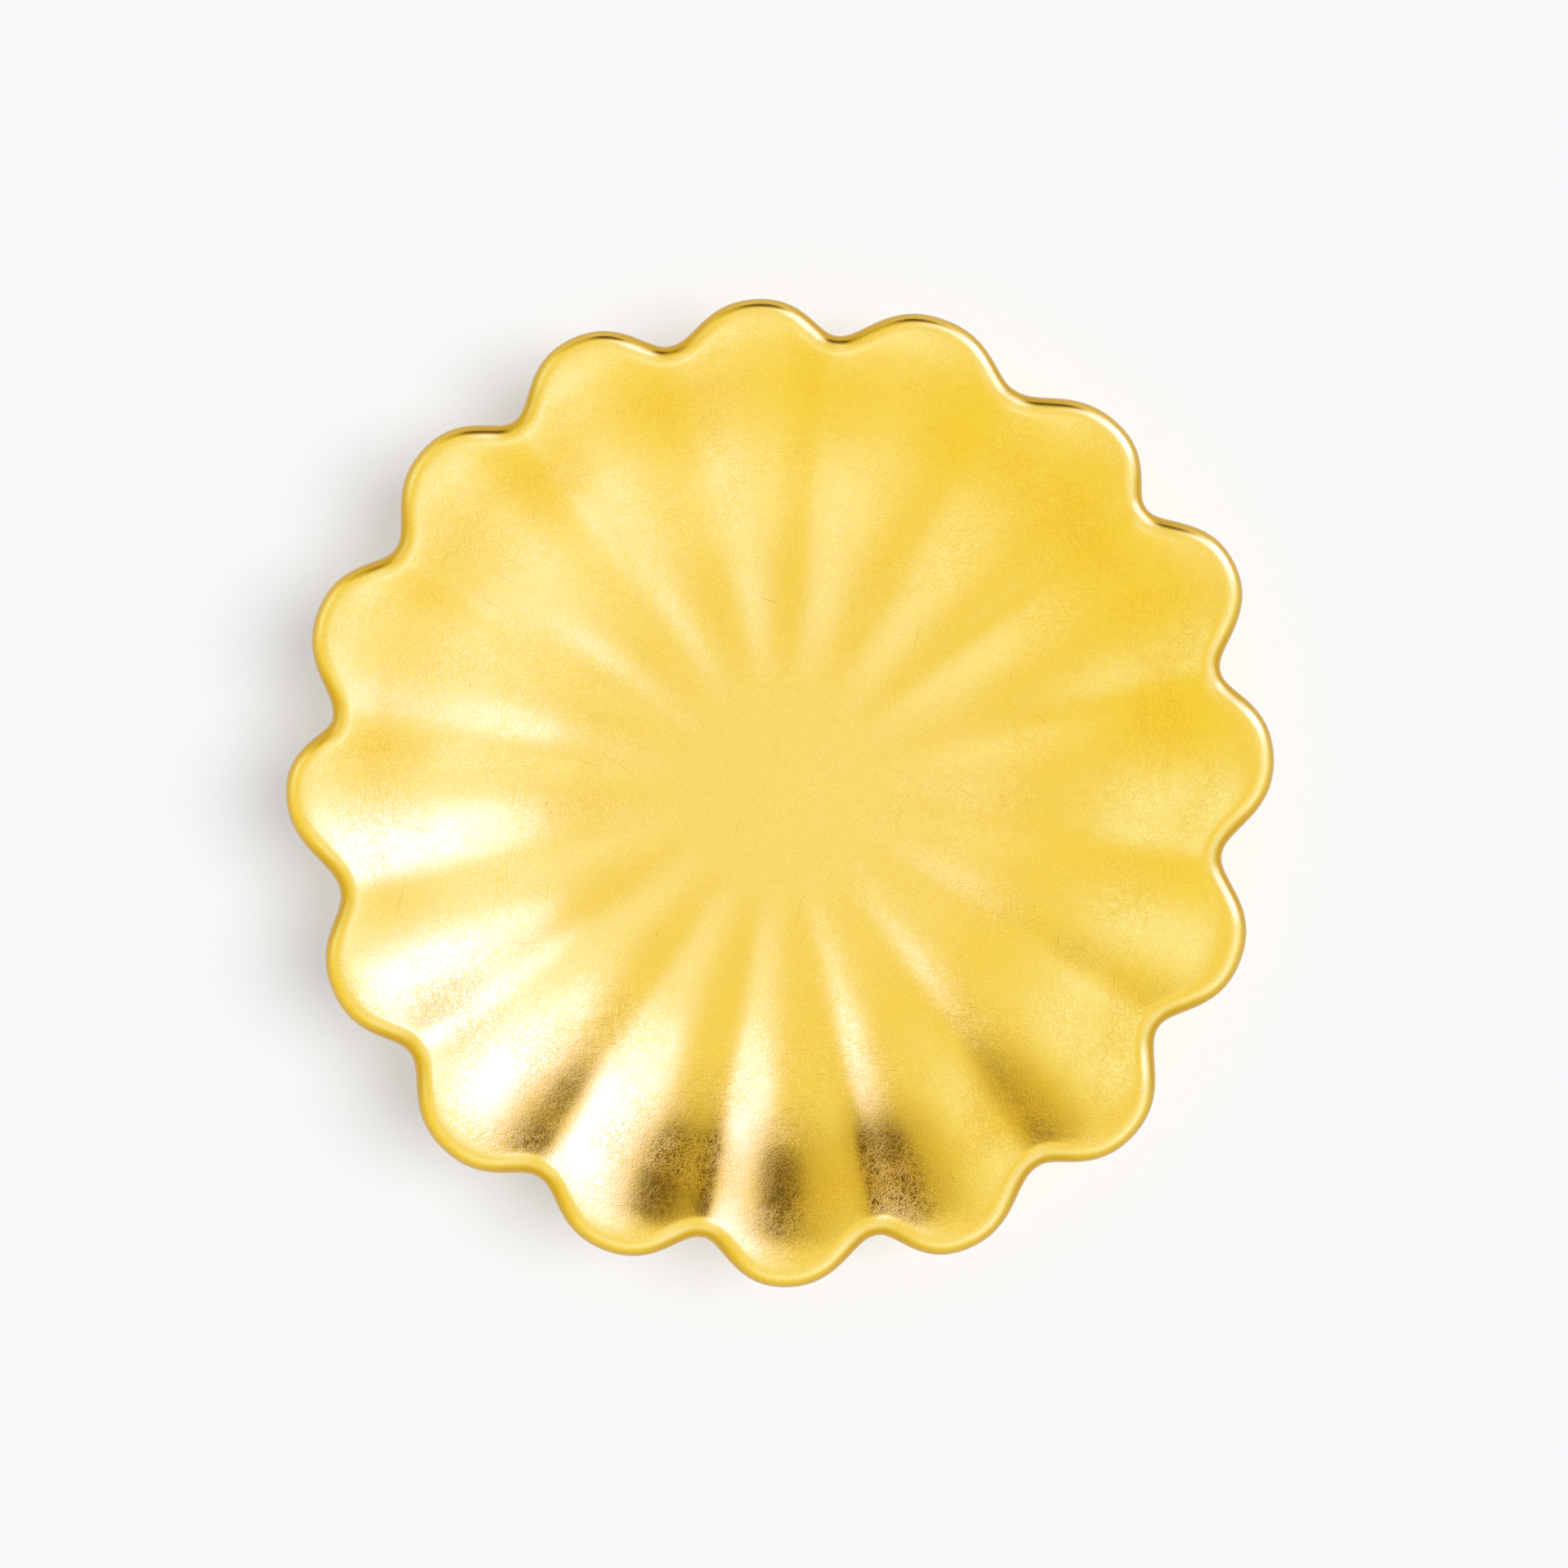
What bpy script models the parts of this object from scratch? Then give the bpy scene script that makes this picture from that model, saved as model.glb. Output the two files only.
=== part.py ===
"""A shallow brass urli dish with sixteen hand-raised petals, standing on a low foot ring.

One sheet of brass is pressed into flutes, and its edge is rolled over a wire. The ring is soldered under
the flat middle, and four felt pads keep it off the table. Metres, +Z up, origin under the middle of the
dish where the pads touch the table.
"""

import math

import bmesh
import bpy
from mathutils import Vector

MM = 0.001

# Driving dimensions, in millimetres unless the name says otherwise.
SHEET = 1.0                 # thickness of the brass sheet
ROLL_HALF_WIDTH = 3.3       # the rolled lip's section is an oval, taller above its middle than below
ROLL_RISE = 4.6
ROLL_DROP = 2.6
ROLL_SWEEP_DEG = 280.0      # how far round the edge is rolled, which leaves a slot beside the wall
WIRE_RADIUS = 1.6           # the wire inside the roll
WIRE_LIFT = 0.6             # how far it lies above the roll's middle
GAP = 0.3                   # what neighbouring pieces keep between them
PAD_HEIGHT = 1.2
PAD_RADIUS = 2.6
PAD_BEVEL = 0.3
PAD_COUNT = 4
FOOT_HEIGHT = 4.0
FOOT_RADIUS = 34.0          # middle of the foot ring's tread
FOOT_TREAD = 6.4            # width of the ring where the pads sit
FOOT_NECK = 4.0             # width of the ring where it meets the dish
FOOT_WAIST = 0.35           # share of the ring's height at which it starts to narrow

# The petals, one row each: notch before it (degrees, radius), then its tip (degrees, radius). The dish is
# worked by hand, so no two are quite alike.
PETALS = (
    (15.0, 92.0, 26.5, 102.0),
    (37.5, 93.0, 47.5, 100.2),
    (59.5, 93.3, 71.0, 100.2),
    (83.0, 92.3, 93.0, 99.0),
    (104.0, 92.3, 115.0, 100.2),
    (126.0, 92.0, 136.5, 99.6),
    (148.0, 92.0, 159.0, 100.2),
    (171.0, 92.0, 180.5, 100.0),
    (193.0, 91.7, 204.5, 99.4),
    (215.5, 92.3, 227.0, 99.8),
    (238.0, 92.7, 249.0, 99.8),
    (260.0, 92.2, 270.5, 100.6),
    (282.0, 92.4, 292.0, 100.2),
    (304.0, 92.4, 315.0, 99.8),
    (327.5, 90.5, 339.5, 99.0),
    (351.5, 90.3, 364.0, 99.6),
)
NOTCH_SOFTNESS = 0.35       # how wide the rounding at the bottom of a notch is
PETAL_FULLNESS = 0.40       # how far a petal's shoulders swell past a plain arc

# Height of the inside surface along the middle of a petal, as (radius, height) above the flat middle.
PETAL_LINE = ((0, 0), (20, 0), (38, 0), (44, 0.1), (50, 0.7), (56, 2.1), (62, 4.2), (68, 6.9),
              (74, 10.5), (80, 15.1), (86, 20.2), (92, 24.6), (98, 27.0))
# How much higher the ridge between two petals stands, as (radius, rise).
RIDGE_RISE = ((0, 0), (20, 0), (26, 0.18), (32, 0.5), (38, 0.85), (44, 1.15), (50, 1.35), (62, 1.45),
              (68, 1.5), (74, 1.6), (80, 2.0), (86, 2.4), (98, 2.4))
RIDGE_SOFTNESS = (1.7, 0.05)  # rounding of the ridges at the middle of the dish and at its rim
RELIEF_RADIUS = 95.0        # where the second of those is reached
RELIEF_FOLLOW = 0.16        # how much the relief moves in and out with the scalloped edge
MEAN_RADIUS = 98.0

# How finely the sheet is drawn.
PHASES = (0.0, 0.055, 0.14, 0.28, 0.5, 0.72, 0.86, 0.945)
FIELD_RINGS = (0.27, 0.37, 0.46, 0.53, 0.60, 0.68, 0.76, 0.84, 0.92, 1.0)
ROLL_RINGS = 8
FOOT_STEPS = 64
PAD_SIDES = 24
SMOOTH_UNDER_DEG = 60.0     # edges sharper than this keep a crease
PROBE = 0.25                # step used to measure a slope
FIRST_DEPTH = 4.5           # first guess at how far in from the edge the roll starts
MERGE_DISTANCE = 0.01
SAME_HEIGHT = 0.000001      # metres

BLANK_FIELD = 95.0          # radius of the flat blank's middle part, before its edge is rolled
BLANK_ROLL_STEP = 1.0       # ring spacing in the part that will be rolled


def smooth_line(points, x):
    """A smooth curve through the points, read at x."""
    last = len(points) - 1
    i = 0
    while i < last - 1 and x > points[i + 1][0]:
        i += 1

    def slope(k):
        a = points[max(k - 1, 0)]
        b = points[min(k + 1, last)]
        return (b[1] - a[1]) / (b[0] - a[0])

    (x0, y0), (x1, y1) = points[i], points[i + 1]
    width = x1 - x0
    t = (x - x0) / width
    rise = (y1 - y0) * (3 * t * t - 2 * t ** 3)
    ease_in = slope(i) * width * (t - 2 * t * t + t ** 3)
    ease_out = slope(i + 1) * width * (t ** 3 - t * t)
    return y0 + rise + ease_in + ease_out


def bulge(phase, softness):
    """0 at a notch or ridge, 1 in the middle of the petal, rounded at the notch."""
    s = math.sin(math.pi * phase)
    return (math.hypot(s, softness) - softness) / (math.hypot(1, softness) - softness)


def petal_end(index):
    last = index == len(PETALS) - 1
    return PETALS[(index + 1) % len(PETALS)][0] + (360 if last else 0)


def petal_at(degrees):
    """Which petal an angle is in, and how far across it, from 0 to 1."""
    first = PETALS[0][0]
    angle = (degrees - first) % 360 + first
    for i, petal in enumerate(PETALS):
        if angle < petal_end(i):
            return i, max(0.0, (angle - petal[0]) / (petal_end(i) - petal[0]))
    return len(PETALS) - 1, 1.0


def leaned(index, phase):
    """The phase moved so that the petal's tip, which is off centre, falls at one half."""
    start, _, tip, _ = PETALS[index]
    at = (tip - start) / (petal_end(index) - start)
    return phase + (0.5 - at) / (at * (1 - at)) * phase * (1 - phase)


def outline_radius(degrees):
    """Radius of the dish's outer edge, seen from above."""
    index, phase = petal_at(degrees)
    notch = PETALS[index][1]
    next_notch = PETALS[(index + 1) % len(PETALS)][1]
    base = notch + (next_notch - notch) * phase
    swell = bulge(leaned(index, phase), NOTCH_SOFTNESS)
    swell += PETAL_FULLNESS * swell * swell * (1 - swell)
    return base + (PETALS[index][3] - base) * swell


def field_height(x, y):
    """Height of the inside surface over the point x, y."""
    radius = math.hypot(x, y)
    degrees = math.degrees(math.atan2(y, x))
    index, phase = petal_at(degrees)
    edge = outline_radius(degrees)
    along = radius * (1 + RELIEF_FOLLOW * (MEAN_RADIUS / edge - 1))
    soft_in, soft_out = RIDGE_SOFTNESS
    softness = soft_in + (soft_out - soft_in) * min(1, radius / RELIEF_RADIUS)
    ridge = 1 - bulge(leaned(index, phase), softness)
    return smooth_line(PETAL_LINE, along) + smooth_line(RIDGE_RISE, along) * ridge


def edge_point(degrees):
    a = math.radians(degrees)
    return Vector((math.cos(a), math.sin(a))) * outline_radius(degrees)


def roll_start(tilt):
    """Where on its oval the roll leaves a wall of this tilt, as the oval's own angle from straight out."""
    return math.atan2(ROLL_RISE * math.cos(tilt), -ROLL_HALF_WIDTH * math.sin(tilt))


def lip_section(degrees):
    """Where the lip stands at an angle: edge point, inward direction, start of the roll, its middle."""
    edge = edge_point(degrees)
    along = edge_point(degrees + PROBE) - edge_point(degrees - PROBE)
    inward = Vector((-along.y, along.x)).normalized()
    depth = FIRST_DEPTH
    for _ in range(3):
        low = edge + inward * (depth + PROBE)
        high = edge + inward * (depth - PROBE)
        start = roll_start(math.atan2(field_height(*high) - field_height(*low), 2 * PROBE))
        depth = ROLL_HALF_WIDTH * (1 - math.cos(start))
    middle = field_height(*(edge + inward * depth)) - ROLL_RISE * math.sin(start)
    return edge, inward, start, middle


def roll_point(section, turn_deg):
    """A point on the rolled edge, after it has turned this far from the wall."""
    edge, inward, start, middle = section
    angle = start - math.radians(turn_deg)
    flat = edge + inward * ROLL_HALF_WIDTH * (1 - math.cos(angle))
    half_height = ROLL_RISE if math.sin(angle) > 0 else ROLL_DROP
    return Vector((flat.x, flat.y, middle + half_height * math.sin(angle)))


def wire_point(section):
    edge, inward, _, middle = section
    flat = edge + inward * ROLL_HALF_WIDTH
    return Vector((flat.x, flat.y, middle + WIRE_LIFT))


def field_point(section, share):
    """A point of the inside surface, this share of the way from the middle to the lip."""
    start = roll_point(section, 0)
    x, y = start.x * share, start.y * share
    return Vector((x, y, field_height(x, y)))


def column_angles():
    """The directions in which the sheet is drawn."""
    angles = []
    for i, petal in enumerate(PETALS):
        angles += [petal[0] + (petal_end(i) - petal[0]) * phase for phase in PHASES]
    return angles


def plan_offset(angles):
    """What brings the middle of the dish's outline over the origin."""
    edge = [edge_point(a) for a in angles]
    middle_x = (min(p.x for p in edge) + max(p.x for p in edge)) / 2
    middle_y = (min(p.y for p in edge) + max(p.y for p in edge)) / 2
    return Vector((-middle_x, -middle_y, 0)) * MM


def brass(name, colour, roughness):
    return finish(name, colour, roughness, 1.0)


def finish(name, colour, roughness, metallic):
    material = bpy.data.materials.new(name)
    material.use_nodes = True
    shader = material.node_tree.nodes["Principled BSDF"]
    shader.inputs["Base Color"].default_value = (*colour, 1.0)
    shader.inputs["Roughness"].default_value = roughness
    shader.inputs["Metallic"].default_value = metallic
    material.diffuse_color = (*colour, 1.0)
    return material


def place(name, data, material, collection, parent, location):
    data.materials.append(material)
    piece = bpy.data.objects.new(name, data)
    collection.objects.link(piece)
    piece.parent = parent
    piece.location = location
    return piece


def flat_blank(rings, steps):
    """A flat disc of sheet, spun from one row of points."""
    bm = bmesh.new()
    row = [bm.verts.new((radius, 0, 0)) for radius in rings]
    spokes = [bm.edges.new(pair) for pair in zip(row, row[1:])]
    bmesh.ops.spin(bm, geom=row + spokes, cent=(0, 0, 0), axis=(0, 0, 1), angle=2 * math.pi,
                   steps=steps, use_merge=True)
    bmesh.ops.remove_doubles(bm, verts=bm.verts, dist=MERGE_DISTANCE)
    bmesh.ops.recalc_face_normals(bm, faces=bm.faces)
    if sum(face.normal.z for face in bm.faces) < 0:
        bmesh.ops.reverse_faces(bm, faces=bm.faces)
    return bm


def make_bowl_shell(collection, parent, height, angles):
    """Press the flat blank into petals, roll its edge over, and give the sheet its thickness."""
    sections = [lip_section(angle) for angle in angles]
    rings = [0.0] + [BLANK_FIELD * share for share in FIELD_RINGS]
    rings += [BLANK_FIELD + BLANK_ROLL_STEP * (i + 1) for i in range(ROLL_RINGS)]
    bm = flat_blank(rings, len(angles))
    for vert in bm.verts:
        radius = math.hypot(vert.co.x, vert.co.y)
        turn = math.atan2(vert.co.y, vert.co.x) / (2 * math.pi) * len(angles)
        section = sections[round(turn) % len(angles)]
        rolled = round((radius - BLANK_FIELD) / BLANK_ROLL_STEP) / ROLL_RINGS
        if rolled > 0:
            point = roll_point(section, rolled * ROLL_SWEEP_DEG)
        else:
            point = field_point(section, radius / BLANK_FIELD)
        vert.co = point * MM
    mesh = bpy.data.meshes.new("bowl_shell")
    bm.to_mesh(mesh)
    bm.free()
    mesh.shade_smooth()
    mesh.set_sharp_from_angle(angle=math.radians(SMOOTH_UNDER_DEG))
    shell = place("bowl_shell", mesh, brass("satin_brass_sheet", (0.80, 0.52, 0.11), 0.32),
                  collection, parent, (0, 0, height))
    wall = shell.modifiers.new("sheet_thickness", "SOLIDIFY")
    wall.thickness = SHEET * MM
    wall.offset = -1.0
    wall.use_even_offset = True
    return shell


def make_rim_wire(collection, parent, height, angles):
    """The wire that the lip is rolled over."""
    curve = bpy.data.curves.new("rim_wire", "CURVE")
    curve.dimensions = "3D"
    curve.bevel_depth = WIRE_RADIUS * MM
    curve.bevel_resolution = 2
    line = curve.splines.new("POLY")
    line.points.add(len(angles) - 1)
    for point, angle in zip(line.points, angles):
        point.co = (*(wire_point(lip_section(angle)) * MM), 1.0)
    line.use_cyclic_u = True
    return place("rim_wire", curve, brass("drawn_brass_wire", (0.62, 0.40, 0.10), 0.4),
                 collection, parent, (0, 0, height))


def make_foot_ring(collection, parent):
    """The turned ring that is soldered under the flat middle: a section with a Screw round it."""
    bottom = PAD_HEIGHT + GAP
    top = bottom + FOOT_HEIGHT
    tread = FOOT_TREAD / 2
    neck = FOOT_NECK / 2
    waist = bottom + FOOT_HEIGHT * FOOT_WAIST
    section = ((FOOT_RADIUS + neck, top), (FOOT_RADIUS + tread, waist), (FOOT_RADIUS + tread, bottom),
               (FOOT_RADIUS - tread, bottom), (FOOT_RADIUS - tread, waist), (FOOT_RADIUS - neck, top))
    bm = bmesh.new()
    row = [bm.verts.new((x * MM, 0, z * MM)) for x, z in section]
    for i, vert in enumerate(row):
        bm.edges.new((vert, row[(i + 1) % len(row)]))
    mesh = bpy.data.meshes.new("foot_ring")
    bm.to_mesh(mesh)
    bm.free()
    ring = place("foot_ring", mesh, brass("turned_brass", (0.74, 0.47, 0.11), 0.36),
                 collection, parent, (0, 0, 0))
    turn = ring.modifiers.new("turned", "SCREW")
    turn.steps = FOOT_STEPS
    turn.render_steps = FOOT_STEPS
    turn.use_merge_vertices = True
    turn.merge_threshold = MERGE_DISTANCE * MM
    turn.use_normal_calculate = False
    return ring


def make_foot_pads(collection, parent):
    """Felt pads under the ring, a quarter turn apart."""
    felt = finish("grey_green_felt", (0.07, 0.08, 0.06), 0.95, 0.0)
    for i in range(PAD_COUNT):
        bm = bmesh.new()
        bmesh.ops.create_cone(bm, cap_ends=True, segments=PAD_SIDES, radius1=PAD_RADIUS * MM,
                              radius2=PAD_RADIUS * MM, depth=PAD_HEIGHT * MM)
        rims = [e for e in bm.edges if abs(e.verts[0].co.z - e.verts[1].co.z) < SAME_HEIGHT]
        bmesh.ops.bevel(bm, geom=rims, offset=PAD_BEVEL * MM, offset_type="OFFSET", segments=1,
                        profile=0.5, affect="EDGES", material=-1)
        mesh = bpy.data.meshes.new(f"foot_pad_{i + 1}")
        bm.to_mesh(mesh)
        bm.free()
        angle = 2 * math.pi * (i + 0.5) / PAD_COUNT
        place(f"foot_pad_{i + 1}", mesh, felt, collection, parent,
              (FOOT_RADIUS * MM * math.cos(angle), FOOT_RADIUS * MM * math.sin(angle),
               PAD_HEIGHT * MM / 2))


def main():
    for old in list(bpy.data.objects):
        bpy.data.objects.remove(old, do_unlink=True)
    collection = bpy.data.collections.new("brass_urli_bowl")
    bpy.context.scene.collection.children.link(collection)
    angles = column_angles()
    dish = bpy.data.objects.new("dish_centre", None)
    collection.objects.link(dish)
    dish.location = plan_offset(angles)
    floor_height = (PAD_HEIGHT + GAP + FOOT_HEIGHT + GAP + SHEET) * MM
    make_bowl_shell(collection, dish, floor_height, angles)
    make_rim_wire(collection, dish, floor_height, angles)
    make_foot_ring(collection, dish)
    make_foot_pads(collection, dish)


main()
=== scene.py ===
"""The looks of a sixteen-petal brass urli dish.

One pressed and burnished sheet with a rolled lip stands on a turned foot ring with felt pads.

Lengths are in millimetres while a piece is being shaped, and in metres once it is in the scene.
"""

import math

import bmesh
import bpy
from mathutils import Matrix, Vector


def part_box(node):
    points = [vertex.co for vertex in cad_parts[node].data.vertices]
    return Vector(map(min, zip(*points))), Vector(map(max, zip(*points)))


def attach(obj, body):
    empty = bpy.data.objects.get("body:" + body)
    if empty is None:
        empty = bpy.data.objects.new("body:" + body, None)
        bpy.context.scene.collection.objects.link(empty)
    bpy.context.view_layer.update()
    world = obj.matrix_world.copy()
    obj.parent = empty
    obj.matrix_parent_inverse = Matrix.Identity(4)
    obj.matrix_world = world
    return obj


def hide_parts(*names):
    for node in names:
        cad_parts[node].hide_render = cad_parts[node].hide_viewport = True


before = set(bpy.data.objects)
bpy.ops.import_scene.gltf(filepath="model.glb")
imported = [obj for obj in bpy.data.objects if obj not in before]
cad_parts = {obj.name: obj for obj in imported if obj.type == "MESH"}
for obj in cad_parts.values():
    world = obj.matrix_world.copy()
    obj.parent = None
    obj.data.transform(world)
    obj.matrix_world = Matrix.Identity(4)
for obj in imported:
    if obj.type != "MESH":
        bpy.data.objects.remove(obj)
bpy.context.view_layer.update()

MM = 0.001

# The sheet and its lip, in millimetres.
SHEET = 1.0
ROLL_HALF_WIDTH = 3.3        # the lip is an oval roll, taller above its middle than below
ROLL_RISE = 4.6
ROLL_DROP = 2.6
ROLL_SWEEP_DEG = 280.0
GAP = 0.3                    # stands for the solder over the foot ring

# The petals: notch before each (degrees, radius), then its tip (degrees, radius).
PETALS = (
    (15.0, 92.0, 26.5, 102.0),
    (37.5, 93.0, 47.5, 100.2),
    (59.5, 93.3, 71.0, 100.2),
    (83.0, 92.3, 93.0, 99.0),
    (104.0, 92.3, 115.0, 100.2),
    (126.0, 92.0, 136.5, 99.6),
    (148.0, 92.0, 159.0, 100.2),
    (171.0, 92.0, 180.5, 100.0),
    (193.0, 91.7, 204.5, 99.4),
    (215.5, 92.3, 227.0, 99.8),
    (238.0, 92.7, 249.0, 99.8),
    (260.0, 92.2, 270.5, 100.6),
    (282.0, 92.4, 292.0, 100.2),
    (304.0, 92.4, 315.0, 99.8),
    (327.5, 90.5, 339.5, 99.0),
    (351.5, 90.3, 364.0, 99.6),
)
NOTCH_SOFTNESS = 0.35
PETAL_FULLNESS = 0.40        # fills out the petals' shoulders

# Height of the inside along the middle of a petal, and how much higher the ridges stand: (radius, height).
PETAL_LINE = ((0, 0), (20, 0), (38, 0), (44, 0.1), (50, 0.7), (56, 2.1), (62, 4.2), (68, 6.9),
              (74, 10.5), (80, 15.1), (86, 20.2), (92, 24.6), (98, 27.0))
RIDGE_RISE = ((0, 0), (20, 0), (26, 0.18), (32, 0.5), (38, 0.85), (44, 1.15), (50, 1.35), (62, 1.45),
              (68, 1.5), (74, 1.6), (80, 2.0), (86, 2.4), (98, 2.4))
RIDGE_SOFTNESS = (1.7, 0.05)   # in the middle of the dish, and at the relief radius
RELIEF_RADIUS = 95.0
RELIEF_FOLLOW = 0.16         # how far the relief follows the outline in and out
MEAN_RADIUS = 98.0

# How finely the sheet is drawn.
COLUMNS_PER_PETAL = 32
NOTCH_CROWDING = 0.5
FIELD_RINGS = 58
ROLL_RINGS = 20
PROBE = 0.25                 # a short step, in degrees or millimetres, over which a slope is taken
FIRST_DEPTH = 4.5            # first guess of how far inside the edge the roll starts
DEPTH_ROUNDS = 3             # how often that guess is improved

# The flat blank that the sheet is pressed from. Rings past the field become the roll.
BLANK_FIELD = 95.0
RING_STEP = 0.2
MERGE_DISTANCE = 0.001


# ---- the shape of the dish ----

def smooth_line(points, x):
    """A smooth curve through the points, read at x."""
    last = len(points) - 1
    i = 0
    while i < last - 1 and x > points[i + 1][0]:
        i += 1

    def slope(k):
        a = points[max(k - 1, 0)]
        b = points[min(k + 1, last)]
        return (b[1] - a[1]) / (b[0] - a[0])

    (x0, y0), (x1, y1) = points[i], points[i + 1]
    width = x1 - x0
    t = (x - x0) / width
    rise = (y1 - y0) * (3 * t * t - 2 * t ** 3)
    ease_in = slope(i) * width * (t - 2 * t * t + t ** 3)
    ease_out = slope(i + 1) * width * (t ** 3 - t * t)
    return y0 + rise + ease_in + ease_out


def bulge(phase, softness):
    """0 at a notch or ridge, 1 in the middle of the petal, rounded at the notch."""
    s = math.sin(math.pi * phase)
    return (math.hypot(s, softness) - softness) / (math.hypot(1, softness) - softness)


def petal_end(index):
    """The angle at which a petal ends, past 360 for the last one."""
    last = index == len(PETALS) - 1
    return PETALS[(index + 1) % len(PETALS)][0] + (360 if last else 0)


def petal_at(degrees):
    """Which petal an angle is in, and how far across it, from 0 to 1."""
    first = PETALS[0][0]
    angle = (degrees - first) % 360 + first
    for i, petal in enumerate(PETALS):
        if angle < petal_end(i):
            return i, max(0.0, (angle - petal[0]) / (petal_end(i) - petal[0]))
    return len(PETALS) - 1, 1.0


def leaned(index, phase):
    """The phase moved so that the petal's tip, which is off centre, falls at one half."""
    start, _, tip, _ = PETALS[index]
    at = (tip - start) / (petal_end(index) - start)
    return phase + (0.5 - at) / (at * (1 - at)) * phase * (1 - phase)


def outline_radius(degrees):
    """Radius of the dish's outer edge, seen from above."""
    index, phase = petal_at(degrees)
    notch = PETALS[index][1]
    next_notch = PETALS[(index + 1) % len(PETALS)][1]
    base = notch + (next_notch - notch) * phase
    swell = bulge(leaned(index, phase), NOTCH_SOFTNESS)
    swell += PETAL_FULLNESS * swell * swell * (1 - swell)
    return base + (PETALS[index][3] - base) * swell


def field_height(x, y):
    """Height of the inside surface over the point x, y."""
    radius = math.hypot(x, y)
    degrees = math.degrees(math.atan2(y, x))
    index, phase = petal_at(degrees)
    edge = outline_radius(degrees)
    along = radius * (1 + RELIEF_FOLLOW * (MEAN_RADIUS / edge - 1))
    soft_in, soft_out = RIDGE_SOFTNESS
    softness = soft_in + (soft_out - soft_in) * min(1, radius / RELIEF_RADIUS)
    ridge = 1 - bulge(leaned(index, phase), softness)
    return smooth_line(PETAL_LINE, along) + smooth_line(RIDGE_RISE, along) * ridge


def edge_point(degrees):
    """The outline's point in this direction, seen from above."""
    a = math.radians(degrees)
    return Vector((math.cos(a), math.sin(a))) * outline_radius(degrees)


def roll_start(tilt):
    """Where on its oval the roll leaves a wall of this tilt, as the oval's own angle from straight out."""
    return math.atan2(ROLL_RISE * math.cos(tilt), -ROLL_HALF_WIDTH * math.sin(tilt))


def lip_section(degrees):
    """Where the lip stands at an angle: edge point, inward direction, start of the roll, its middle."""
    edge = edge_point(degrees)
    along = edge_point(degrees + PROBE) - edge_point(degrees - PROBE)
    inward = Vector((-along.y, along.x)).normalized()
    depth = FIRST_DEPTH
    for _ in range(DEPTH_ROUNDS):
        low = edge + inward * (depth + PROBE)
        high = edge + inward * (depth - PROBE)
        start = roll_start(math.atan2(field_height(*high) - field_height(*low), 2 * PROBE))
        depth = ROLL_HALF_WIDTH * (1 - math.cos(start))
    middle = field_height(*(edge + inward * depth)) - ROLL_RISE * math.sin(start)
    return edge, inward, start, middle


def roll_point(section, turn_deg):
    """A point on the rolled edge, after it has turned this far from the wall."""
    edge, inward, start, middle = section
    angle = start - math.radians(turn_deg)
    flat = edge + inward * ROLL_HALF_WIDTH * (1 - math.cos(angle))
    half_height = ROLL_RISE if math.sin(angle) > 0 else ROLL_DROP
    return Vector((flat.x, flat.y, middle + half_height * math.sin(angle)))


def column_angles():
    """The directions in which the sheet is drawn, closer together at the notches."""
    angles = []
    for i, petal in enumerate(PETALS):
        for step in range(COLUMNS_PER_PETAL):
            t = step / COLUMNS_PER_PETAL
            phase = t - NOTCH_CROWDING * math.sin(2 * math.pi * t) / (2 * math.pi)
            angles.append(petal[0] + (petal_end(i) - petal[0]) * phase)
    return angles


# ---- where the dish stands, from the frame ----

RING_LOW, RING_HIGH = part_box("foot_ring")
DISH_X = (RING_LOW.x + RING_HIGH.x) / 2
DISH_Y = (RING_LOW.y + RING_HIGH.y) / 2
FLAT_HEIGHT = RING_HIGH.z + (GAP + SHEET) * MM


def flat_blank(rings, steps):
    """A flat disc of sheet, spun from one row of points."""
    bm = bmesh.new()
    row = [bm.verts.new((radius, 0, 0)) for radius in rings]
    spokes = [bm.edges.new(pair) for pair in zip(row, row[1:])]
    bmesh.ops.spin(bm, geom=row + spokes, cent=(0, 0, 0), axis=(0, 0, 1), angle=2 * math.pi,
                   steps=steps, use_merge=True)
    bmesh.ops.remove_doubles(bm, verts=bm.verts, dist=MERGE_DISTANCE)
    bmesh.ops.recalc_face_normals(bm, faces=bm.faces)
    if sum(face.normal.z for face in bm.faces) < 0:
        bmesh.ops.reverse_faces(bm, faces=bm.faces)
    return bm


def make_petal_shell():
    """Press the flat blank into petals, roll its edge over, and give the sheet its thickness."""
    sections = [lip_section(angle) for angle in column_angles()]
    rings = [BLANK_FIELD * i / FIELD_RINGS for i in range(FIELD_RINGS + 1)]
    rings += [BLANK_FIELD + RING_STEP * (i + 1) for i in range(ROLL_RINGS)]
    bm = flat_blank(rings, len(sections))
    turned = bm.verts.layers.float.new("roll_turn")
    for vert in bm.verts:
        radius = math.hypot(vert.co.x, vert.co.y)
        turn = math.atan2(vert.co.y, vert.co.x) / (2 * math.pi) * len(sections)
        section = sections[round(turn) % len(sections)]
        rolled = round((radius - BLANK_FIELD) / RING_STEP) / ROLL_RINGS
        if rolled > 0:
            point = roll_point(section, rolled * ROLL_SWEEP_DEG)
            vert[turned] = rolled * ROLL_SWEEP_DEG
        else:
            start = roll_point(section, 0)
            x, y = start.x * radius / BLANK_FIELD, start.y * radius / BLANK_FIELD
            point = Vector((x, y, field_height(x, y)))
        vert.co = point * MM + Vector((DISH_X, DISH_Y, FLAT_HEIGHT))
    shell = finished_mesh("petal_shell", bm)
    wall = shell.modifiers.new("sheet_thickness", "SOLIDIFY")
    wall.thickness = SHEET * MM
    wall.offset = -1.0
    wall.use_even_offset = True
    return shell


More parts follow.
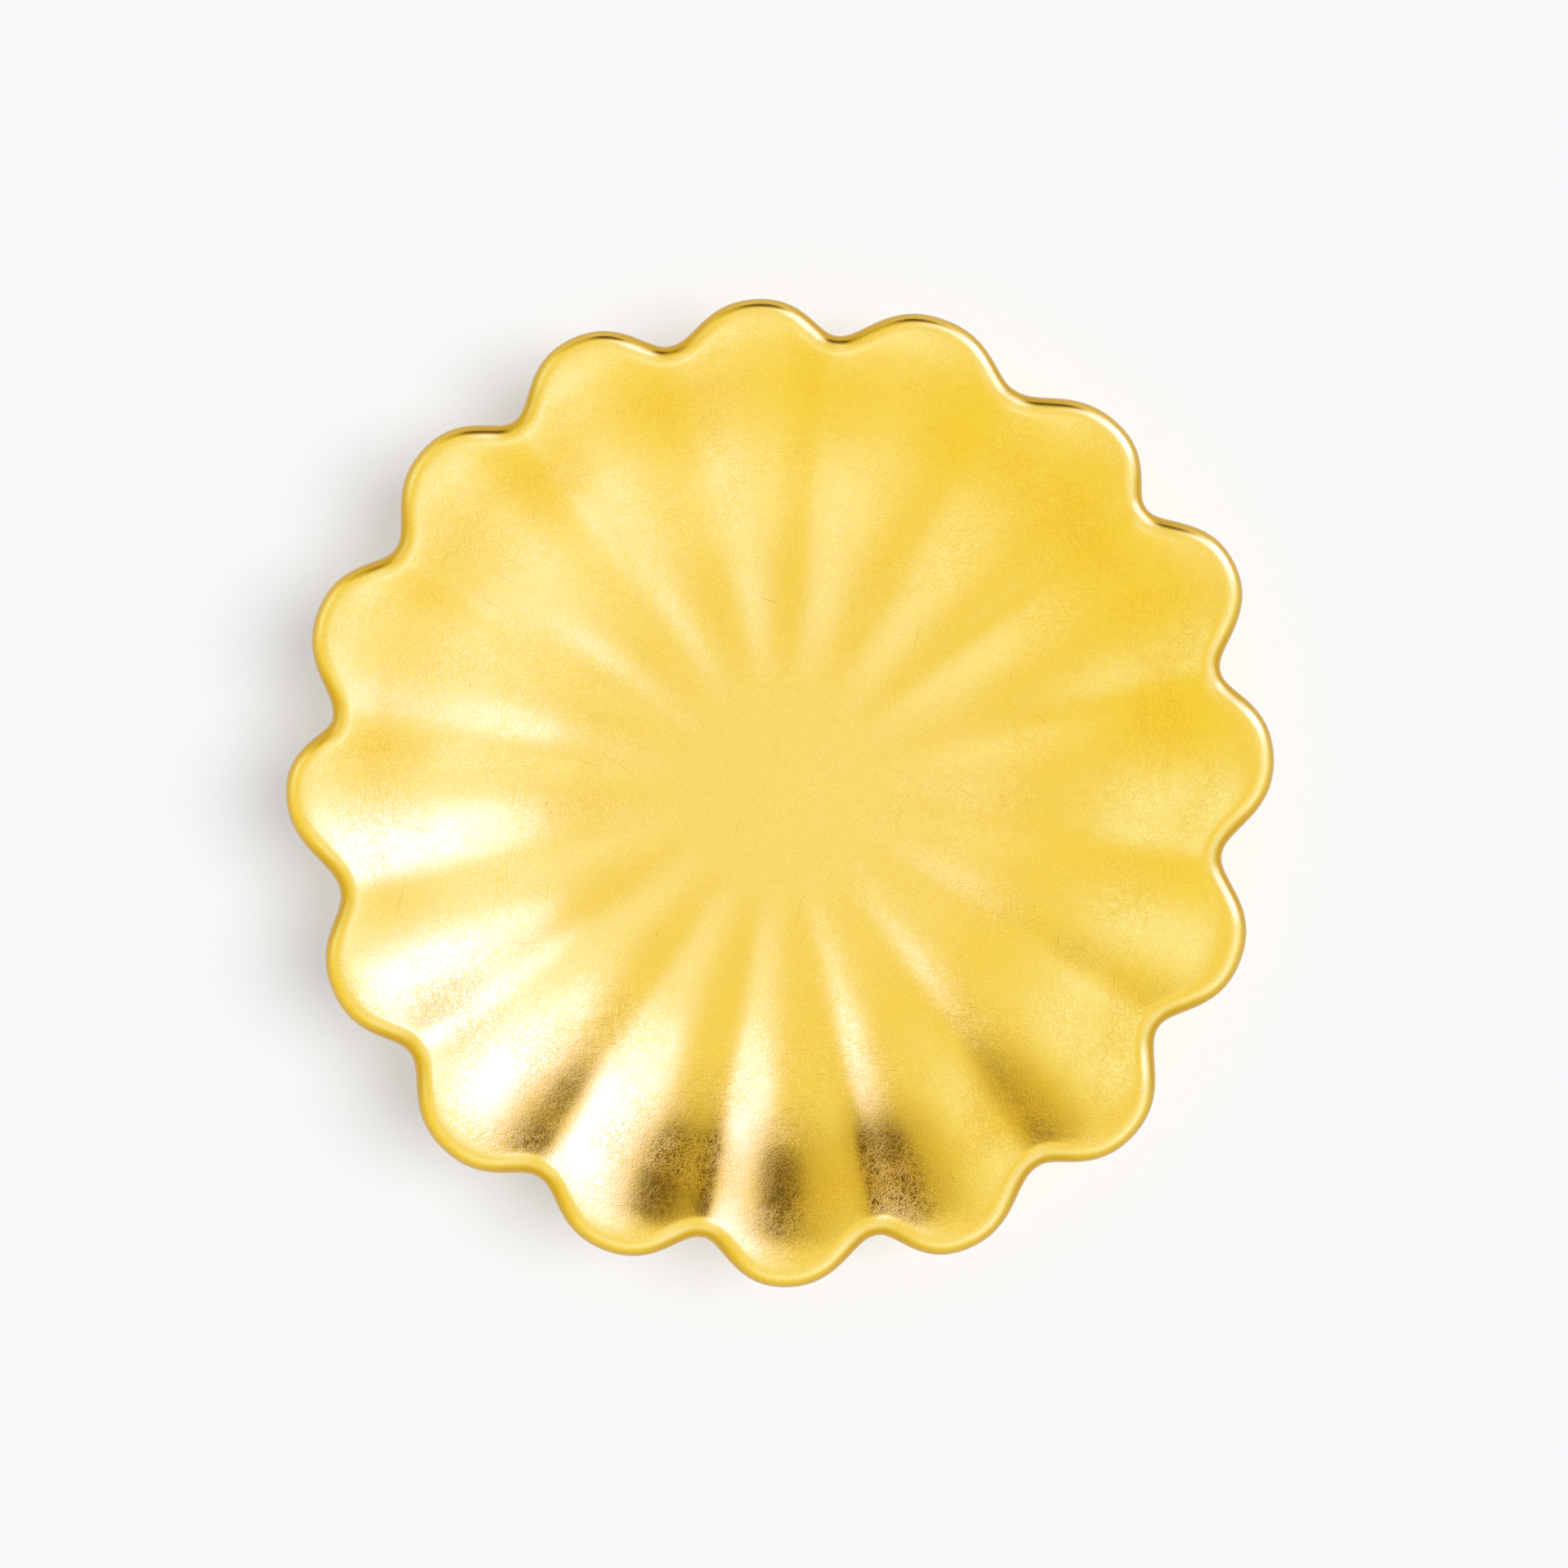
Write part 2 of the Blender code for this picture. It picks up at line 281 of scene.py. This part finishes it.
def finished_mesh(name, bm):
    mesh = bpy.data.meshes.new(name)
    bm.to_mesh(mesh)
    bm.free()
    mesh.shade_smooth()
    piece = bpy.data.objects.new(name, mesh)
    bpy.context.scene.collection.objects.link(piece)
    return piece


# ---- finishes ----

def linear(hex_colour):
    """An sRGB hex colour as linear RGBA."""
    parts = [int(hex_colour[i:i + 2], 16) / 255 for i in (1, 3, 5)]
    return (*[c / 12.92 if c <= 0.04045 else ((c + 0.055) / 1.055) ** 2.4 for c in parts], 1.0)


def add(tree, kind, inputs, out=0, **settings):
    """Add a node. Each input takes a value, or the output of another node. Returns one output."""
    node = tree.nodes.new(kind)
    for name, value in settings.items():
        setattr(node, name, value)
    for name, value in inputs.items():
        if isinstance(value, bpy.types.NodeSocket):
            tree.links.new(value, node.inputs[name])
        else:
            node.inputs[name].default_value = value
    return node.outputs[out]


def new_finish(name, colour, metallic, roughness):
    material = bpy.data.materials.new(name)
    material.use_nodes = True
    shader = material.node_tree.nodes["Principled BSDF"]
    shader.inputs["Base Color"].default_value = linear(colour)
    shader.inputs["Metallic"].default_value = metallic
    shader.inputs["Roughness"].default_value = roughness
    return material, material.node_tree, shader


def dish_place(tree):
    """Millimetres from the middle of the dish."""
    here = add(tree, "ShaderNodeTexCoord", {}, "Object")
    return add(tree, "ShaderNodeMapping", {"Vector": here, "Scale": (1 / MM,) * 3,
                                           "Location": (-DISH_X / MM, -DISH_Y / MM, 0)})


def distance_out(tree, place):
    """Millimetres out from the dish's axis."""
    flat = add(tree, "ShaderNodeVectorMath", {0: place, 1: (1, 1, 0)}, operation="MULTIPLY")
    return add(tree, "ShaderNodeVectorMath", {0: flat}, "Value", operation="LENGTH")


def stretched_noise(tree, place, turn, length, width, detail):
    """Noise drawn out along one direction, like strokes of that length and width."""
    turned = add(tree, "ShaderNodeMapping", {"Vector": place, "Rotation": (0, 0, math.radians(turn)),
                                             "Location": (turn, 0, 0)})
    drawn = add(tree, "ShaderNodeMapping", {"Vector": turned, "Scale": (1 / length, 1 / width, 1 / length)})
    return add(tree, "ShaderNodeTexNoise", {"Vector": drawn, "Scale": 1.0, "Detail": detail})


def crossing_strokes(tree, place, turns, length, width, detail):
    """Strokes in several directions, laid over one another."""
    strokes = 0.0
    for turn in turns:
        one_way = stretched_noise(tree, place, turn, length, width, detail)
        strokes = add(tree, "ShaderNodeMath", {0: strokes, 1: one_way}, operation="MAXIMUM")
    return strokes


# Hand finishing, in millimetres. Real rubbing marks are finer: these are as wide as they need to be to show.
STROKE_LENGTH = 2.6
STROKE_WIDTH = 0.21
STROKE_TURNS = (8, 47, 83, 121, 156)
STROKE_CURL = 1.1
CURL_SIZE = 4.5
STROKE_DEPTH = 0.022
STROKE_FADE = {"From Min": 0.54, "From Max": 0.76}
GRAIN_SIZE = 0.32
GRAIN_HEIGHT = 0.22          # against a stroke's height of 1
GRAIN_TONE = {"From Min": 0.25, "From Max": 0.8}

# Where the strokes show: in patches, away from the middle, and not on the roll.
RUB_PATCH_SIZE = 15.0
RUB_PATCHES = {"From Min": 0.40, "From Max": 0.62, "To Min": 0.42, "To Max": 1.0}
RUB_STARTS = {"From Min": 6.0, "From Max": 26.0}      # millimetres out from the middle
ROLL_STARTS = {"From Min": -1.0, "From Max": 12.0}    # degrees round the roll
# From here the roll's outer half is painted darker: partly tarnish, partly painted shade for the dim
# reflection it takes from low down.
EDGE_TARNISH_AND_SHADE = {"From Min": 24.0, "From Max": 75.0}   # degrees round the roll

POLISHED_ROUGHNESS = 0.14
STROKE_ROUGHNESS = 0.16      # these three are added to it
GRAIN_ROUGHNESS = 0.08
EDGE_ROUGHNESS = 0.08

# Hair scratches and specks of tarnish.
HAIR_LENGTH = 16.0
HAIR_WIDTH = 0.18
HAIR_TURNS = (31, 104)
HAIR_FADE = {"From Min": 0.87, "From Max": 0.93}
SPECK_SPACING = 13.0
SPECK_RADIUS = 0.28
SPECK_CORE = 0.4             # the part of a speck's radius that is fully dark
MARK_STRENGTH = 0.6


def burnished_brass():
    """Pressed brass sheet, burnished and then rubbed by hand: bright smooth flutes with short crossing
    strokes, a fine grain in the middle, and a few hair scratches and tarnish specks."""
    material, tree, shader = new_finish("burnished_brass_sheet", "#FAD863", 1.0, 0.2)
    place = dish_place(tree)
    round_roll = add(tree, "ShaderNodeAttribute", {}, "Fac", attribute_name="roll_turn")
    # edge: the roll's outer half, rougher and painted darker, partly tarnish and partly painted shade.
    edge = add(tree, "ShaderNodeMapRange", {"Value": round_roll, **EDGE_TARNISH_AND_SHADE},
               interpolation_type="SMOOTHSTEP")

    bend = add(tree, "ShaderNodeTexNoise", {"Vector": place, "Scale": 1 / CURL_SIZE, "Detail": 0.0}, "Color")
    curled = add(tree, "ShaderNodeVectorMath", {0: bend, 1: (STROKE_CURL,) * 3, 2: place},
                 operation="MULTIPLY_ADD")
    strokes = crossing_strokes(tree, curled, STROKE_TURNS, STROKE_LENGTH, STROKE_WIDTH, 1.0)
    strokes = add(tree, "ShaderNodeMapRange", {"Value": strokes, **STROKE_FADE},
                  interpolation_type="SMOOTHSTEP")

    outside = add(tree, "ShaderNodeMapRange", {"Value": distance_out(tree, place), **RUB_STARTS},
                  interpolation_type="SMOOTHSTEP")
    on_roll = add(tree, "ShaderNodeMapRange", {"Value": round_roll, **ROLL_STARTS},
                  interpolation_type="SMOOTHSTEP")
    on_wall = add(tree, "ShaderNodeMath", {0: 1.0, 1: on_roll}, operation="SUBTRACT")
    patches = add(tree, "ShaderNodeTexNoise", {"Vector": place, "Scale": 1 / RUB_PATCH_SIZE, "Detail": 3.0})
    patches = add(tree, "ShaderNodeMapRange", {"Value": patches, **RUB_PATCHES})
    zone = add(tree, "ShaderNodeMath", {0: outside, 1: on_wall}, operation="MULTIPLY")
    rubbed = add(tree, "ShaderNodeMath", {0: patches, 1: zone}, operation="MULTIPLY")
    cut = add(tree, "ShaderNodeMath", {0: strokes, 1: rubbed}, operation="MULTIPLY")

    grain = add(tree, "ShaderNodeTexNoise", {"Vector": place, "Scale": 1 / GRAIN_SIZE, "Detail": 1.0})
    height = add(tree, "ShaderNodeMath", {0: grain, 1: GRAIN_HEIGHT, 2: cut}, operation="MULTIPLY_ADD")
    normal = add(tree, "ShaderNodeBump", {"Height": height, "Strength": 1.0, "Distance": STROKE_DEPTH * MM})
    tree.links.new(normal, shader.inputs["Normal"])

    rough = POLISHED_ROUGHNESS
    for cause, amount in ((cut, STROKE_ROUGHNESS), (grain, GRAIN_ROUGHNESS), (edge, EDGE_ROUGHNESS)):
        rough = add(tree, "ShaderNodeMath", {0: cause, 1: amount, 2: rough}, operation="MULTIPLY_ADD")
    tree.links.new(rough, shader.inputs["Roughness"])

    hairs = crossing_strokes(tree, curled, HAIR_TURNS, HAIR_LENGTH, HAIR_WIDTH, 0.0)
    hairs = add(tree, "ShaderNodeMapRange", {"Value": hairs, **HAIR_FADE}, interpolation_type="SMOOTHSTEP")
    near = add(tree, "ShaderNodeTexVoronoi", {"Vector": place, "Scale": 1 / SPECK_SPACING}, "Distance")
    rim = SPECK_RADIUS / SPECK_SPACING
    specks = add(tree, "ShaderNodeMapRange", {"Value": near, "From Min": rim, "From Max": SPECK_CORE * rim},
                 interpolation_type="SMOOTHSTEP")
    marks = add(tree, "ShaderNodeMath", {0: hairs, 1: specks}, operation="MAXIMUM")
    marks = add(tree, "ShaderNodeMath", {0: marks, 1: MARK_STRENGTH}, operation="MULTIPLY")

    tone = add(tree, "ShaderNodeMapRange", {"Value": grain, **GRAIN_TONE})
    bright = add(tree, "ShaderNodeMix", {0: tone, 6: linear("#F6D159"), 7: linear("#FFE374")}, 2,
                 data_type="RGBA")
    stroked = add(tree, "ShaderNodeMix", {0: cut, 6: bright, 7: linear("#F6CF4E")}, 2, data_type="RGBA")
    # Painted shade with some tarnish: the roll's outer half is mixed towards a dark gold.
    worn_and_shaded = add(tree, "ShaderNodeMix", {0: edge, 6: stroked, 7: linear("#D0A21C")}, 2, data_type="RGBA")
    marked = add(tree, "ShaderNodeMix", {0: marks, 6: worn_and_shaded, 7: linear("#9A6A1C")}, 2, data_type="RGBA")
    tree.links.new(marked, shader.inputs["Base Color"])
    return material


TURNING_PITCH = 0.5          # millimetres between tool marks, wider than real ones so that they show
TURNING_DEPTH = 0.012
TURNED_ROUGHNESS = {"To Min": 0.22, "To Max": 0.46}
HANDLING_FILM = {"From Min": 0.4, "From Max": 0.7}


def turned_brass():
    """Cast brass turned on a lathe: fine rings round the foot, dulled by handling and polish residue."""
    material, tree, shader = new_finish("turned_brass_foot", "#E3B750", 1.0, 0.3)
    place = dish_place(tree)
    height = add(tree, "ShaderNodeSeparateXYZ", {"Vector": place}, "Z")
    along = add(tree, "ShaderNodeMath", {0: distance_out(tree, place), 1: height}, operation="ADD")
    rings = add(tree, "ShaderNodeTexNoise", {"W": along, "Scale": 1 / TURNING_PITCH, "Detail": 1.0},
                noise_dimensions="1D")
    normal = add(tree, "ShaderNodeBump", {"Height": rings, "Strength": 1.0, "Distance": TURNING_DEPTH * MM})
    tree.links.new(normal, shader.inputs["Normal"])

    film = add(tree, "ShaderNodeTexNoise", {"Vector": place, "Scale": 1 / RUB_PATCH_SIZE, "Detail": 4.0})
    rough = add(tree, "ShaderNodeMapRange", {"Value": film, **TURNED_ROUGHNESS})
    tree.links.new(rough, shader.inputs["Roughness"])
    dull = add(tree, "ShaderNodeMapRange", {"Value": film, **HANDLING_FILM}, interpolation_type="SMOOTHSTEP")
    tone = add(tree, "ShaderNodeMix", {0: dull, 6: linear("#E9BF58"), 7: linear("#C08E34")}, 2,
               data_type="RGBA")
    tree.links.new(tone, shader.inputs["Base Color"])
    return material


WIRE_MARK_LENGTH = 9.0       # millimetres
WIRE_MARK_WIDTH = 0.3
WIRE_ROUGHNESS = {"To Min": 0.32, "To Max": 0.52}


def drawn_wire():
    """Brass wire pulled through a die: dull, browned in the shelter of the roll, with long faint marks."""
    material, tree, shader = new_finish("drawn_brass_wire", "#B98A3C", 1.0, 0.4)
    marks = stretched_noise(tree, dish_place(tree), 0, WIRE_MARK_LENGTH, WIRE_MARK_WIDTH, 2.0)
    tone = add(tree, "ShaderNodeMix", {0: marks, 6: linear("#C99B48"), 7: linear("#8A6228")}, 2,
               data_type="RGBA")
    tree.links.new(tone, shader.inputs["Base Color"])
    rough = add(tree, "ShaderNodeMapRange", {"Value": marks, **WIRE_ROUGHNESS})
    tree.links.new(rough, shader.inputs["Roughness"])
    return material


FELT_FIBRE = 0.35            # millimetres, thicker than wool so that it shows
FELT_RELIEF = 0.08
FELT_TANGLE = 1.5
FELT_SHEEN = 0.35
FELT_SHEEN_ROUGHNESS = 0.6


def wool_felt():
    """Pressed wool felt: matt, soft at its edges, with matted fibres in two greys."""
    material, tree, shader = new_finish("grey_green_wool_felt", "#454B40", 0.0, 0.95)
    shader.inputs["Sheen Weight"].default_value = FELT_SHEEN
    shader.inputs["Sheen Roughness"].default_value = FELT_SHEEN_ROUGHNESS
    fibres = add(tree, "ShaderNodeTexNoise", {"Vector": dish_place(tree), "Scale": 1 / FELT_FIBRE,
                                              "Detail": 4.0, "Distortion": FELT_TANGLE})
    normal = add(tree, "ShaderNodeBump", {"Height": fibres, "Strength": 1.0, "Distance": FELT_RELIEF * MM})
    tree.links.new(normal, shader.inputs["Normal"])
    tone = add(tree, "ShaderNodeMix", {0: fibres, 6: linear("#33382F"), 7: linear("#5E6557")}, 2,
               data_type="RGBA")
    tree.links.new(tone, shader.inputs["Base Color"])
    return material


TABLE_GRAIN = 0.9            # millimetres
TABLE_GLOSS = 0.2


def matt_table():
    """Matt white card, with the faintest grain."""
    material, tree, shader = new_finish("matt_white_card", "#F5F5F5", 0.0, 0.9)
    shader.inputs["Specular IOR Level"].default_value = TABLE_GLOSS
    grain = add(tree, "ShaderNodeTexNoise", {"Vector": dish_place(tree), "Scale": 1 / TABLE_GRAIN})
    tone = add(tree, "ShaderNodeMix", {0: grain, 6: linear("#F3F4F4"), 7: linear("#F7F7F7")}, 2,
               data_type="RGBA")
    tree.links.new(tone, shader.inputs["Base Color"])
    return material


# ---- the table, the light and the camera ----

FRAME_WIDTH = 315.7 * MM     # seen by the camera, level with the lip
LIP_LEVEL = 30.0 * MM
CAMERA_ABOVE = 500.0 * MM    # above the lip
CAMERA_OFF_AXIS = (0.515 * MM, 0.933 * MM)
SENSOR = 36.0
TABLE_REACH = 12.0           # metres each way, so that its edge is far off in a low view

# What the brass mirrors: azimuth, elevation and half width in degrees, crispness of the edge, and linear
# colour. A dark place also has how much of the room it covers.
ROOM_LOW = (0.98, 0.93, 0.28, 1)
ROOM_HIGH = (0.95, 0.87, 0.38, 1)
SOFT_LIGHTS = {
    "window": (45, 41, 23, 3, (0.5, 0.45, 3.7)),
    "low_window": (36, 13, 18, 1, (0.98, 0.98, 10.2)),
    "white_wall_right": (316, 36, 20, 1, (0.15, 0.28, 1.9)),
    "white_wall_left": (158, 23, 21, 1, (0.08, 0.3, 1.8)),
    "ceiling_front": (264, 50, 27, 1, (0.1, 0.23, 1.2)),
    "ceiling_back": (18, 43, 41, 1, (0.1, 0.35, 2.2)),
}
DARK_PLACES = {
    "dim_wall": (98, 16, 28, 3, (0.53, 0.41, 0.11, 1), 0.6),
    "doorway": (88, 16, 16, 3, (0.12, 0.07, 0.01, 1), 0.97),
}

# What matt things receive, as azimuth, elevation, softness in degrees and strength.
DAYLIGHTS = {
    "skylight": (0, 90, 16, 1.50),
    "side_daylight": (2, 60, 34, 1.35),
}
FILL = "#74767A"
BACKDROP = "#F6F7F7"


def make_camera():
    """Looking straight down at the dish."""
    data = bpy.data.cameras.new("overhead_camera")
    data.sensor_width = SENSOR
    data.lens = SENSOR * CAMERA_ABOVE / FRAME_WIDTH
    camera = bpy.data.objects.new("overhead_camera", data)
    camera.location = (DISH_X + CAMERA_OFF_AXIS[0], DISH_Y + CAMERA_OFF_AXIS[1],
                       LIP_LEVEL + CAMERA_ABOVE)
    bpy.context.scene.collection.objects.link(camera)
    bpy.context.scene.camera = camera


def make_table():
    """A plain pale table under the dish."""
    bm = bmesh.new()
    bmesh.ops.create_grid(bm, x_segments=1, y_segments=1, size=TABLE_REACH)
    table = finished_mesh("table", bm)
    table.data.materials.append(matt_table())


def soft_spot(tree, direction, azimuth, elevation, half_width, edge):
    """How much of a round soft light shows in a direction: 1 in its middle, a third at its half width."""
    a, e = math.radians(azimuth), math.radians(elevation)
    aim = (math.cos(a) * math.cos(e), math.sin(a) * math.cos(e), math.sin(e))
    cosine = add(tree, "ShaderNodeVectorMath", {0: direction, 1: aim}, "Value", operation="DOT_PRODUCT")
    away = add(tree, "ShaderNodeMath", {0: 1.0, 1: cosine}, operation="SUBTRACT")
    reach = 1 - math.cos(math.radians(half_width))
    widths = add(tree, "ShaderNodeMath", {0: away, 1: reach}, operation="DIVIDE")
    steps = add(tree, "ShaderNodeMath", {0: widths, 1: edge}, operation="POWER")
    return add(tree, "ShaderNodeMath", {0: 1 / math.e, 1: steps}, operation="POWER")


def make_light():
    """A pale studio. Brass mirrors a warm room with cool soft lights, matt things get neutral daylight that
    the brass doesn't mirror, and the camera sees a plain backdrop."""
    world = bpy.data.worlds.new("studio")
    bpy.context.scene.world = world
    bpy.context.scene.view_settings.view_transform = "Standard"
    world.use_nodes = True
    world.cycles.sampling_method = "NONE"
    tree = world.node_tree
    direction = add(tree, "ShaderNodeTexCoord", {}, "Generated")
    rise = add(tree, "ShaderNodeSeparateXYZ", {"Vector": direction}, "Z")
    room = add(tree, "ShaderNodeMix", {0: rise, 6: ROOM_LOW, 7: ROOM_HIGH}, 2, data_type="RGBA")
    mirrored = room
    for *spot, radiance in SOFT_LIGHTS.values():
        mirrored = add(tree, "ShaderNodeVectorMath", {0: soft_spot(tree, direction, *spot), 1: radiance,
                                                      2: mirrored}, operation="MULTIPLY_ADD")
    for *spot, colour, depth in DARK_PLACES.values():
        cover = add(tree, "ShaderNodeMath", {0: soft_spot(tree, direction, *spot), 1: depth},
                    operation="MULTIPLY")
        mirrored = add(tree, "ShaderNodeMix", {0: cover, 6: mirrored, 7: colour}, 2, data_type="RGBA")
    is_mirror = add(tree, "ShaderNodeLightPath", {}, "Is Glossy Ray")
    is_camera = add(tree, "ShaderNodeLightPath", {}, "Is Camera Ray")
    light = add(tree, "ShaderNodeMix", {0: is_mirror, 6: linear(FILL), 7: mirrored}, 2, data_type="RGBA")
    light = add(tree, "ShaderNodeMix", {0: is_camera, 6: light, 7: linear(BACKDROP)}, 2, data_type="RGBA")
    tree.links.new(light, tree.nodes["Background"].inputs["Color"])
    for name, (azimuth, elevation, softness, strength) in DAYLIGHTS.items():
        data = bpy.data.lights.new(name, "SUN")
        data.angle = math.radians(softness)
        data.energy = strength
        lamp = bpy.data.objects.new(name, data)
        lamp.rotation_euler = (0, math.radians(90 - elevation), math.radians(azimuth))
        lamp.visible_glossy = False
        bpy.context.scene.collection.objects.link(lamp)


def main():
    shell = make_petal_shell()
    shell.data.materials.append(burnished_brass())
    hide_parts("bowl_shell")
    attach(shell, "root")
    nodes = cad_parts
    nodes["rim_wire"].data.materials[0] = drawn_wire()
    nodes["foot_ring"].data.materials[0] = turned_brass()
    felt = wool_felt()
    for name, node in nodes.items():
        if name.startswith("foot_pad"):
            node.data.materials[0] = felt
    make_table()
    make_light()
    make_camera()


main()
